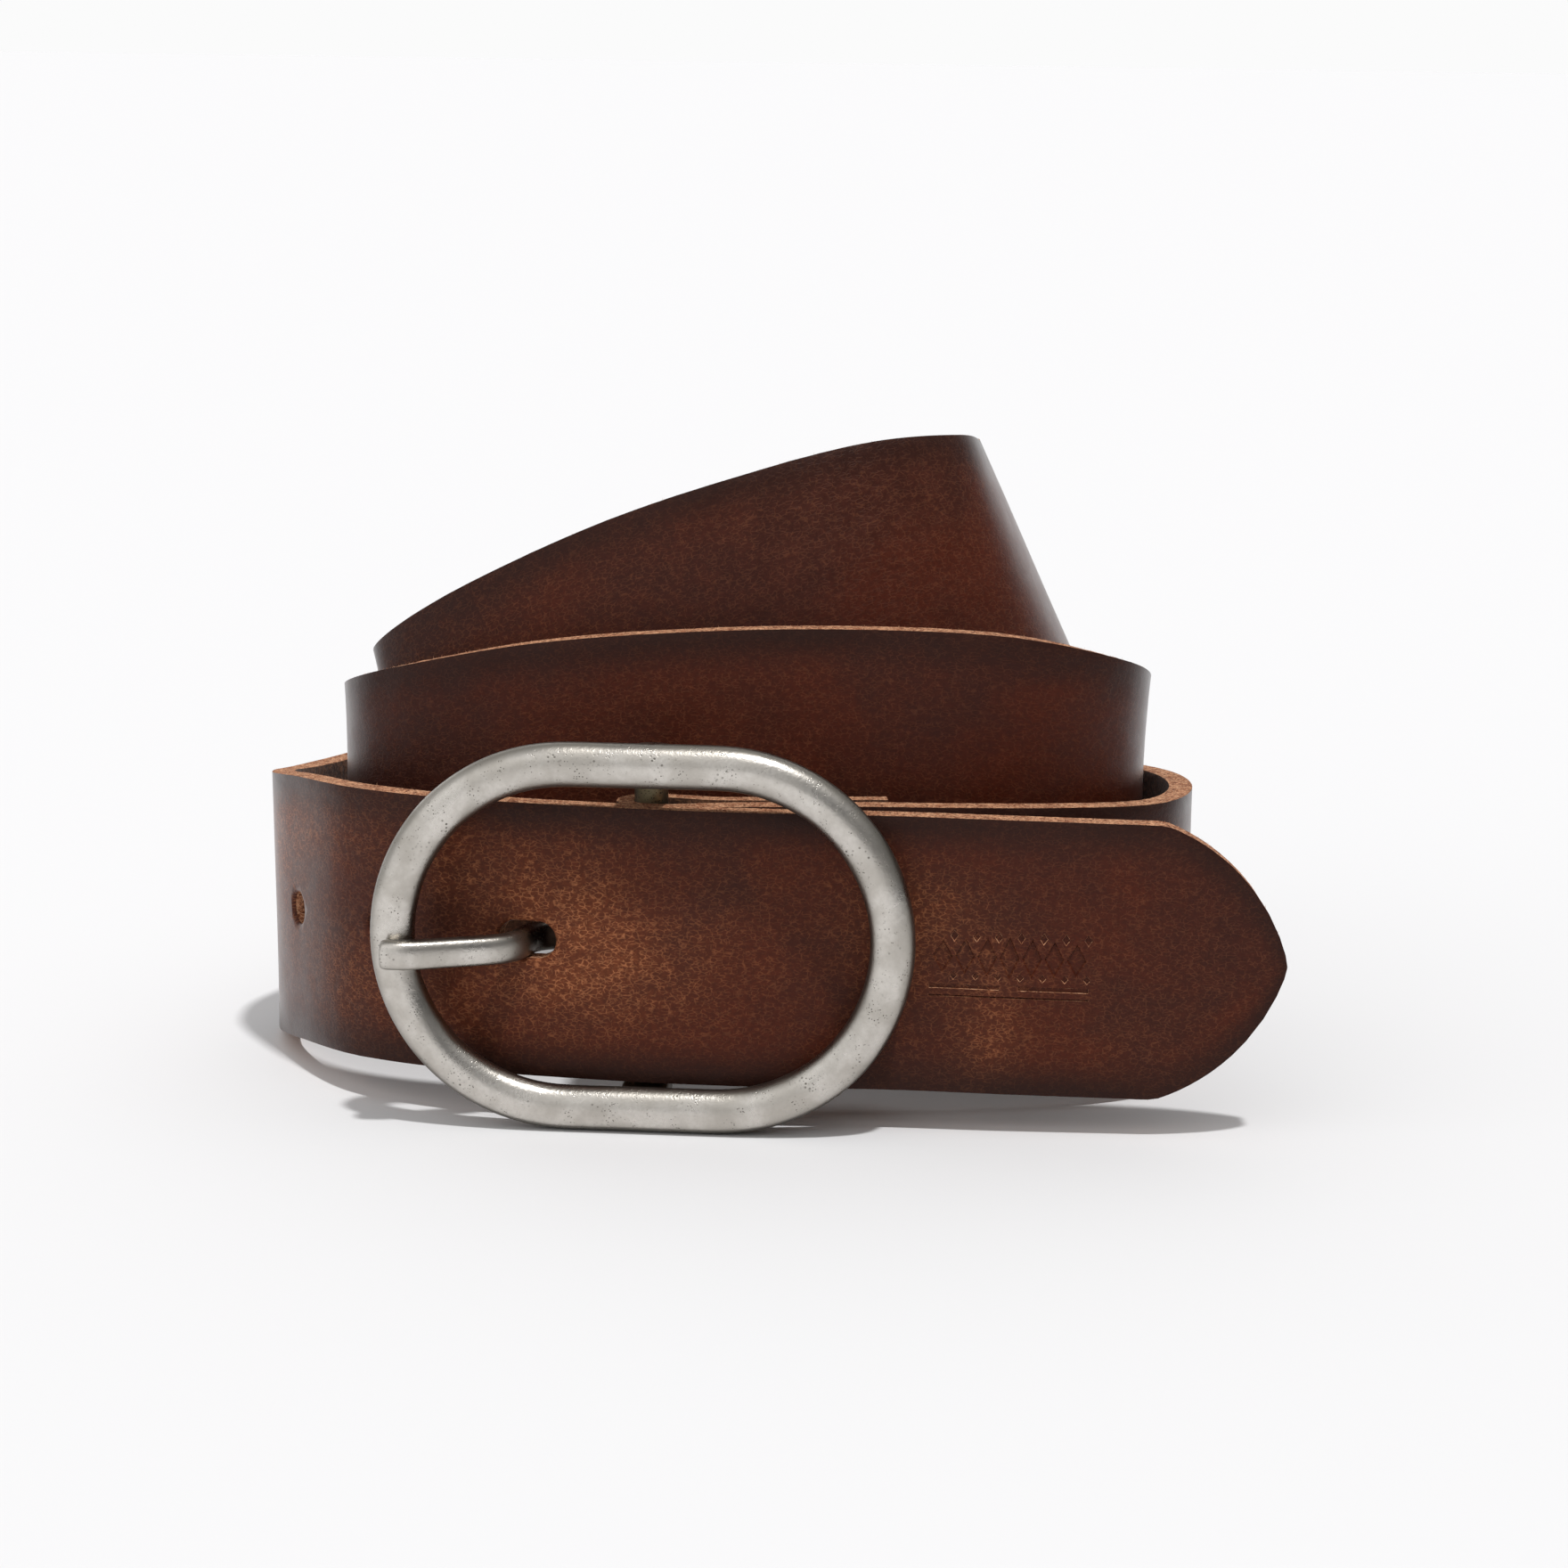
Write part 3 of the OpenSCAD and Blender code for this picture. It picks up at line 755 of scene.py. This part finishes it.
def math_of(tree, operation, a, b=0.0, clamp=False):
    """The result of one Math node."""
    return add(tree, "Math", {0: a, 1: b}, operation=operation, use_clamp=clamp).outputs[0]


def remap(tree, value, low, high, to_low=0.0, to_high=1.0):
    """A smooth step from low to high."""
    node = add(
        tree, "MapRange",
        {"Value": value, "From Min": low, "From Max": high, "To Min": to_low, "To Max": to_high},
        interpolation_type="SMOOTHSTEP",
    )
    return node.outputs["Result"]


def mix_colour(tree, mask, a, b):
    """Colour a where the mask is 0, and colour b where it is 1."""
    node = add(tree, "Mix", data_type="RGBA")
    factor = next(x for x in node.inputs if x.type == "VALUE")
    first, second = (x for x in node.inputs if x.type == "RGBA")
    for socket, value in ((factor, mask), (first, a), (second, b)):
        feed(tree, socket, value)
    return next(x for x in node.outputs if x.type == "RGBA")


def noise_of(tree, vector, scale, detail=2.0, roughness=0.5, distortion=0.0):
    """A grey noise; the scale counts its features in a metre."""
    inputs = {"Vector": vector, "Scale": scale, "Detail": detail, "Roughness": roughness}
    return add(tree, "TexNoise", {**inputs, "Distortion": distortion}).outputs["Fac"]


def srgb(red, green, blue):
    """A colour given in the usual 0 to 255 steps, made linear for the shader."""
    return tuple(
        c / 255 / 12.92 if c <= 10 else ((c / 255 + 0.055) / 1.055) ** 2.4 for c in (red, green, blue)
    ) + (1.0,)


def new_group(name, inputs, outputs):
    """An empty node group with its sockets, ready to be filled."""
    group = bpy.data.node_groups.new(name, "ShaderNodeTree")
    for label, kind, value in inputs:
        socket = group.interface.new_socket(name=label, in_out="INPUT", socket_type=kind)
        if value is not None:
            socket.default_value = value
    for label in outputs:
        group.interface.new_socket(name=label, in_out="OUTPUT", socket_type="NodeSocketFloat")
    start = group.nodes.new("NodeGroupInput")
    end = group.nodes.new("NodeGroupOutput")
    return group, start.outputs, end.inputs


def place(tree, group, inputs):
    """Puts a group into a material with values of its own."""
    return add(tree, "Group", inputs, node_tree=group).outputs


def bumps(tree, height, strength, distance):
    """A Bump node's normal for a height."""
    return add(tree, "Bump", {"Strength": strength, "Distance": distance, "Height": height}).outputs["Normal"]


def new_material(name):
    material = bpy.data.materials.new(name)
    material.use_nodes = True
    tree = material.node_tree
    shader = next(n for n in tree.nodes if n.type == "BSDF_PRINCIPLED")
    return material, tree, shader


def dip(tree, shader, values):
    """Gives the shader its colours, masks and fixed values, each on its own socket."""
    for key, value in values.items():
        feed(tree, shader.inputs[key], value)


# %% [markdown]
# ### Crease lines
#
# Oiled leather shows hair-fine lines where it has been bent. They run round long small
# cells, so a line appears where two cells of a stretched and slightly bent Voronoi
# pattern meet. A noise breaks the net into short strokes. Wave textures would give lines
# too, but they run parallel, and creases never do.

# %% Group: creases
creases, given, result = new_group(
    "creases",
    [("Vector", "NodeSocketVector", None), ("Stretch", "NodeSocketVector", (1.0, 1.0, 1.0)),
     ("Scale", "NodeSocketFloat", 500.0), ("Width", "NodeSocketFloat", 0.1),
     ("Break", "NodeSocketFloat", 0.5)],
    ["Lines"],
)
shift = add(creases, "TexNoise", {"Vector": given["Vector"], "Scale": 700.0, "Detail": 2.0}).outputs["Color"]
shift = add(creases, "VectorMath", {0: shift, "Scale": 0.0007}, operation="SCALE").outputs["Vector"]
bent = add(creases, "VectorMath", {0: given["Vector"], 1: shift}, operation="ADD").outputs["Vector"]
long_way = add(creases, "VectorMath", {0: bent, 1: given["Stretch"]}, operation="MULTIPLY").outputs["Vector"]
cells = add(
    creases, "TexVoronoi", {"Vector": long_way, "Scale": given["Scale"]}, feature="DISTANCE_TO_EDGE",
).outputs["Distance"]
thin = math_of(creases, "SUBTRACT", 1.0, math_of(creases, "DIVIDE", cells, given["Width"]), clamp=True)
chop = noise_of(creases, given["Vector"], math_of(creases, "MULTIPLY", given["Scale"], 0.9))
strokes = math_of(creases, "MULTIPLY", math_of(creases, "SUBTRACT", chop, given["Break"]), 8.0, clamp=True)
creases.links.new(math_of(creases, "MULTIPLY", thin, strokes), result["Lines"])
print("creases:", len(creases.nodes), "nodes")

# %% [markdown]
# ### Mottling and pits
#
# Dye and plating are never even. A soft-edged noise gives slow patches at any scale; the
# same group serves for clouds in the dye, fine specks and tarnish. Pits are the hearts of
# Voronoi cells, kept only where a slower noise is high, so they come in clumps as the
# bubbles in a casting do.

# %% Group: mottle
mottle, given, result = new_group(
    "mottle",
    [("Vector", "NodeSocketVector", None), ("Scale", "NodeSocketFloat", 40.0),
     ("Low", "NodeSocketFloat", 0.4), ("High", "NodeSocketFloat", 0.6)],
    ["Mask"],
)
coarse = noise_of(mottle, given["Vector"], given["Scale"], 3.0, 0.6, 0.3)
mottle.links.new(remap(mottle, coarse, given["Low"], given["High"]), result["Mask"])

# %% Group: pits
pits, given, result = new_group(
    "pits",
    [("Vector", "NodeSocketVector", None), ("Scale", "NodeSocketFloat", 900.0),
     ("Share", "NodeSocketFloat", 0.3)],
    ["Mask"],
)
cells = add(pits, "TexVoronoi", {"Vector": given["Vector"], "Scale": given["Scale"]}, feature="F1")
heart = math_of(pits, "SUBTRACT", 0.3, cells.outputs["Distance"])
clump = noise_of(pits, given["Vector"], math_of(pits, "MULTIPLY", given["Scale"], 0.16))
chosen = math_of(pits, "SUBTRACT", math_of(pits, "ADD", given["Share"], clump), 0.75)
heart = math_of(pits, "MULTIPLY", heart, 7.0, clamp=True)
chosen = math_of(pits, "MULTIPLY", chosen, 8.0, clamp=True)
pits.links.new(math_of(pits, "MULTIPLY", heart, chosen, clamp=True), result["Mask"])
print("shared effects:", [group.name for group in (creases, mottle, pits)])

# %% [markdown]
# ### The grain side
#
# Full-grain leather dyed dark brown and oiled. Its colour drifts between a red brown and
# a darker, greyer brown, goes nearly black along the burnished rims, and turns tan in
# the pale patches, where the creases stand out; the strongest of them is a painted
# highlight on the bulge past the hole in use. The stored paleness and rim values steer
# this, so it follows how a belt is used and where it bulges rather than chance. Pores and
# creases also shape the surface a little, and a soft coat gives the pale sheen seen at
# low angles.

# %% Leather grain: where the patches, lines, scuffs and painted highlight are
grain, tree, shader = new_material("leather_grain")
on_strap = add(tree, "UVMap", uv_map="strap_uv").outputs["UV"]
rim = add(tree, "Attribute", attribute_name="rim").outputs["Fac"]
wear_and_highlight = add(tree, "Attribute", attribute_name="wear_and_highlight").outputs["Fac"]
patches = place(tree, mottle, {"Vector": on_strap, "Scale": 32.0, "Low": 0.38, "High": 0.62})["Mask"]
clouds = place(tree, mottle, {"Vector": on_strap, "Scale": 240.0, "Low": 0.35, "High": 0.68})["Mask"]
specks = place(tree, mottle, {"Vector": on_strap, "Scale": 1500.0, "Low": 0.4, "High": 0.62})["Mask"]
long_lines = place(tree, creases, {
    "Vector": on_strap, "Stretch": (1.0, 2.0, 1.0), "Scale": 1050.0, "Width": 0.12, "Break": 0.4,
})["Lines"]
short_lines = place(tree, creases, {
    "Vector": on_strap, "Stretch": (1.9, 0.8, 1.0), "Scale": 1200.0, "Width": 0.1, "Break": 0.54,
})["Lines"]
all_lines = math_of(tree, "MAXIMUM", long_lines, short_lines)
cloudy = math_of(tree, "ADD", 0.65, math_of(tree, "MULTIPLY", clouds, 0.35))
rubbed_and_lit = math_of(tree, "MULTIPLY", wear_and_highlight, cloudy, clamp=True)

# %% Leather grain: colour, from the dye up
body = mix_colour(tree, patches, srgb(57, 26, 19), srgb(72, 28, 15))
body = mix_colour(tree, math_of(tree, "MULTIPLY", clouds, 0.2), body, srgb(88, 39, 23))
# tan where the leather is scuffed, and as a painted highlight on the bulge past the hole in use
body = mix_colour(tree, math_of(tree, "MULTIPLY", rubbed_and_lit, 0.6), body, srgb(128, 70, 42))
line_show = math_of(tree, "ADD", 0.08, math_of(tree, "MULTIPLY", rubbed_and_lit, 0.85), clamp=True)
body = mix_colour(tree, math_of(tree, "MULTIPLY", all_lines, line_show), body, srgb(186, 120, 80))
body = mix_colour(tree, math_of(tree, "MULTIPLY", specks, 0.3), body, srgb(44, 20, 14))
patchy = math_of(tree, "ADD", 0.5, math_of(tree, "MULTIPLY", patches, 0.3))
burnish = math_of(tree, "MULTIPLY", remap(tree, rim, 6.5, 0.4), patchy)
body = mix_colour(tree, burnish, body, srgb(30, 20, 17))

# %% Leather grain: gloss and relief
gloss = math_of(tree, "ADD", 0.4, math_of(tree, "MULTIPLY", clouds, 0.12))
gloss = math_of(tree, "ADD", gloss, math_of(tree, "MULTIPLY", rubbed_and_lit, 0.14))
facing = add(tree, "LayerWeight", {"Blend": 0.5}).outputs["Facing"]
pores = noise_of(tree, on_strap, 2600.0, 2.0, 0.6)
height = math_of(tree, "MULTIPLY", pores, 0.5)
height = math_of(tree, "ADD", height, math_of(tree, "MULTIPLY", all_lines, 0.55))
height = math_of(tree, "ADD", height, math_of(tree, "MULTIPLY", clouds, 1.1))
dip(tree, shader, {
    "Base Color": body, "Roughness": gloss, "Specular IOR Level": 0.13, "Coat IOR": 1.7,
    "Coat Roughness": 0.36, "Coat Weight": remap(tree, facing, 0.42, 0.95),
    "Normal": bumps(tree, height, 0.32, 0.00012),
})
print("grain:", len(tree.nodes), "nodes")

# %% [markdown]
# ### The cut edge, the flesh side and the fibres
#
# A cut through leather shows undyed, pale brown felt with lighter strands in it; where the
# felt's bump sinks, its colour is painted dark, painted shade in the gaps between fibres.
# The flesh side took some of the dye and was brushed, so it is matt, with a soft nap. Both
# need a rough surface and a strong fine bump rather than gloss. The edge reads Object
# coordinates, because its felt runs on round every corner; the flesh side reads the
# strap's own map, so its nap follows the bends.

# %% Raw cut edge
edge, tree, shader = new_material("leather_edge")
in_space = add(tree, "TexCoord").outputs["Object"]
felt = noise_of(tree, in_space, 2200.0, 4.0, 0.7)
bunches = place(tree, mottle, {"Vector": in_space, "Scale": 500.0, "Low": 0.35, "High": 0.65})["Mask"]
strands = place(tree, creases, {"Vector": in_space, "Scale": 1500.0, "Width": 0.14, "Break": 0.42})["Lines"]
raw = mix_colour(tree, bunches, srgb(160, 104, 74), srgb(214, 158, 120))
# painted shade: dark where the felt's bump sinks, in the gaps between fibres
raw = mix_colour(tree, remap(tree, felt, 0.36, 0.6), srgb(92, 52, 36), raw)
raw = mix_colour(tree, math_of(tree, "MULTIPLY", strands, 0.7), raw, srgb(228, 180, 142))
dip(tree, shader, {
    "Base Color": raw, "Roughness": 0.92, "Specular IOR Level": 0.2,
    "Normal": bumps(tree, felt, 0.8, 0.0003),
})

# %% Flesh side
flesh, tree, shader = new_material("leather_flesh")
on_strap = add(tree, "UVMap", uv_map="strap_uv").outputs["UV"]
nap = noise_of(tree, on_strap, 1400.0, 4.0, 0.7, 0.4)
drift = place(tree, mottle, {"Vector": on_strap, "Scale": 90.0, "Low": 0.35, "High": 0.65})["Mask"]
under = mix_colour(tree, drift, srgb(62, 38, 28), srgb(88, 56, 40))
under = mix_colour(tree, remap(tree, nap, 0.42, 0.66), under, srgb(122, 82, 58))
dip(tree, shader, {
    "Base Color": under, "Roughness": 0.95, "Specular IOR Level": 0.2, "Sheen Weight": 0.15,
    "Normal": bumps(tree, nap, 0.7, 0.0003),
})
for skin in (grain, edge, flesh):
    strap.data.materials.append(skin)

# %% Loose fibres
fibre, tree, shader = new_material("leather_fibre")
tone = noise_of(tree, add(tree, "TexCoord").outputs["Object"], 900.0)
pale = mix_colour(tree, remap(tree, tone, 0.4, 0.6), srgb(150, 96, 66), srgb(226, 176, 138))
dip(tree, shader, {"Base Color": pale, "Roughness": 0.7})
fibres.data.materials.append(fibre)
print("leather skins:", [skin.name for skin in strap.data.materials])

# %% [markdown]
# ### The metal
#
# The buckle is tumbled, plated zinc: satin, with a faint cloudy tarnish and tiny dark
# pits where the plating didn't close. The colour is also painted darker on the sides and
# the back than on the front, read from the piece's own normal: painted shade for the dim
# sides of the ring. Bar and press studs share the finish in darker, warmer tones; nobody
# rubs the studs, and on the bar, deep behind the fold, the darker tone is painted shade.
# One function makes all three from their values.

# %% Metal finishes


def metal(name, bright, dull, roughness, pitted):
    """A metal finish from its two tones, its roughness and its share of pits."""
    material, tree, shader = new_material(name)
    space = add(tree, "TexCoord").outputs
    here = space["Object"]
    cloud = place(tree, mottle, {"Vector": here, "Scale": 130.0, "Low": 0.38, "High": 0.64})["Mask"]
    fine = place(tree, mottle, {"Vector": here, "Scale": 1900.0, "Low": 0.35, "High": 0.7})["Mask"]
    small = place(tree, pits, {"Vector": here, "Scale": 2600.0, "Share": pitted})["Mask"]
    large = place(tree, pits, {"Vector": here, "Scale": 1500.0, "Share": pitted - 0.08})["Mask"]
    dark = math_of(tree, "MAXIMUM", small, large)
    colour = mix_colour(tree, math_of(tree, "MULTIPLY", cloud, 0.6), bright, dull)
    colour = mix_colour(tree, math_of(tree, "MULTIPLY", fine, 0.22), colour, dull)
    colour = mix_colour(tree, math_of(tree, "MULTIPLY", dark, 0.8), colour, srgb(70, 66, 58))
    # minus one where the skin looks straight out of the front; elsewhere the colour is painted darker,
    # painted shade on the sides and the back
    normal_y_for_painted_shade = add(tree, "SeparateXYZ", {0: space["Normal"]}).outputs["Y"]
    colour = mix_colour(tree, remap(tree, normal_y_for_painted_shade, -0.98, -0.45, 0.0, 0.72), colour, srgb(104, 99, 90))
    rough = math_of(tree, "ADD", roughness, math_of(tree, "MULTIPLY", cloud, 0.1))
    rough = math_of(tree, "ADD", rough, math_of(tree, "MULTIPLY", dark, 0.25))
    relief = math_of(tree, "SUBTRACT", math_of(tree, "MULTIPLY", fine, 0.35), dark)
    relief = math_of(tree, "ADD", relief, math_of(tree, "MULTIPLY", cloud, 0.15))
    dip(tree, shader, {
        "Base Color": colour, "Roughness": rough, "Metallic": 1.0,
        "Normal": bumps(tree, relief, 0.35, 0.00008),
    })
    return material


satin = metal("nickel_satin", srgb(212, 207, 200), srgb(172, 166, 157), 0.27, 0.24)
# the bar's darker tone is painted shade for its place deep behind the fold; its warm tint is brass
dark_bar = metal("bar_brass_painted_shade", srgb(150, 140, 112), srgb(96, 86, 62), 0.42, 0.42)
stud_metal = metal("stud_aged", srgb(168, 162, 144), srgb(118, 110, 92), 0.36, 0.34)

# %% Dress the metal parts
for piece in (frame_piece, prong_piece):
    piece.data.materials.append(satin)
plain = {name: stud_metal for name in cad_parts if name.startswith("stud_")}
plain["centre_bar"] = dark_bar
for name, finish in plain.items():
    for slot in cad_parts[name].material_slots:
        slot.material = finish
print("solids that keep their mesh:", len(plain))

# %% [markdown]
# ## Light and floor
#
# A product table: a white floor, white walls, and one lamp high over it, a little in
# front and to the right, that gives the short soft shadows behind and to the left. A sun
# lamp keeps them the same over the whole table. The walls are a world with soft glows:
# bright above, behind and at the left front, darker at the right, which draws the soft
# dark bands in the metal. The floor is wide enough that its far edge meets the wall in
# nearly the same white.

# %% Floor
floor_mesh = bmesh.new()
bmesh.ops.create_grid(floor_mesh, x_segments=1, y_segments=1, size=30)
floor = to_object(floor_mesh, "floor")
paper, tree, shader = new_material("paper")
dip(tree, shader, {
    "Base Color": (0.771, 0.768, 0.774, 1), "Roughness": 0.9, "Specular IOR Level": 0.0,
})
floor.data.materials.append(paper)

# %% World
world = bpy.data.worlds.new("studio")
bpy.context.scene.world = world
world.use_nodes = True
tree = world.node_tree
tree.nodes.clear()
way = add(tree, "TexCoord").outputs["Generated"]
# direction, where the glow begins and is full (cosines), and its strength
GLOWS = [
    ((0, 0, 1), 0.1, 0.95, 0.5), ((-0.95, 0.25, 0.2), 0.5, 0.97, 0.36), ((0, 1, 0.1), 0.5, 0.97, 0.8),
    ((-0.55, -0.8, 0.25), 0.55, 0.98, 0.7), ((-0.8, 0.6, 0.1), 0.75, 1.0, 0.35),
    ((0.9, 0.4, 0.2), 0.75, 1.0, 0.1),
]
WALLS, WALLS_IN_VIEW = 0.07, 0.965
strength = WALLS
for direction, start, full, power in GLOWS:
    toward = add(tree, "VectorMath", {0: way, 1: Vector(direction).normalized()}, operation="DOT_PRODUCT")
    glow = remap(tree, toward.outputs["Value"], start, full, 0.0, power)
    strength = math_of(tree, "ADD", strength, glow)
seen = add(tree, "LightPath").outputs["Is Camera Ray"]
strength = add(tree, "Mix", {0: seen, 2: strength, 3: WALLS_IN_VIEW}).outputs[0]
background = add(tree, "Background", {"Color": (1, 1, 1, 1), "Strength": strength})
tree.links.new(background.outputs[0], add(tree, "OutputWorld").inputs["Surface"])
print("glows on the walls:", len(GLOWS))

# %% Lamp
TO_LAMP = Vector((0.18, -0.27, 0.945))
lamp = bpy.data.lights.new("lamp", "SUN")
lamp.energy = 2.0
lamp.angle = math.radians(3.5)
lamp_object = bpy.data.objects.new("lamp", lamp)
lamp_object.matrix_world = TO_LAMP.to_track_quat("Z", "Y").to_matrix().to_4x4()
bpy.context.scene.collection.objects.link(lamp_object)
bpy.context.scene.view_settings.view_transform = "Standard"
print("lamp stands", round(math.degrees(math.asin(TO_LAMP.normalized().z))), "degrees high")
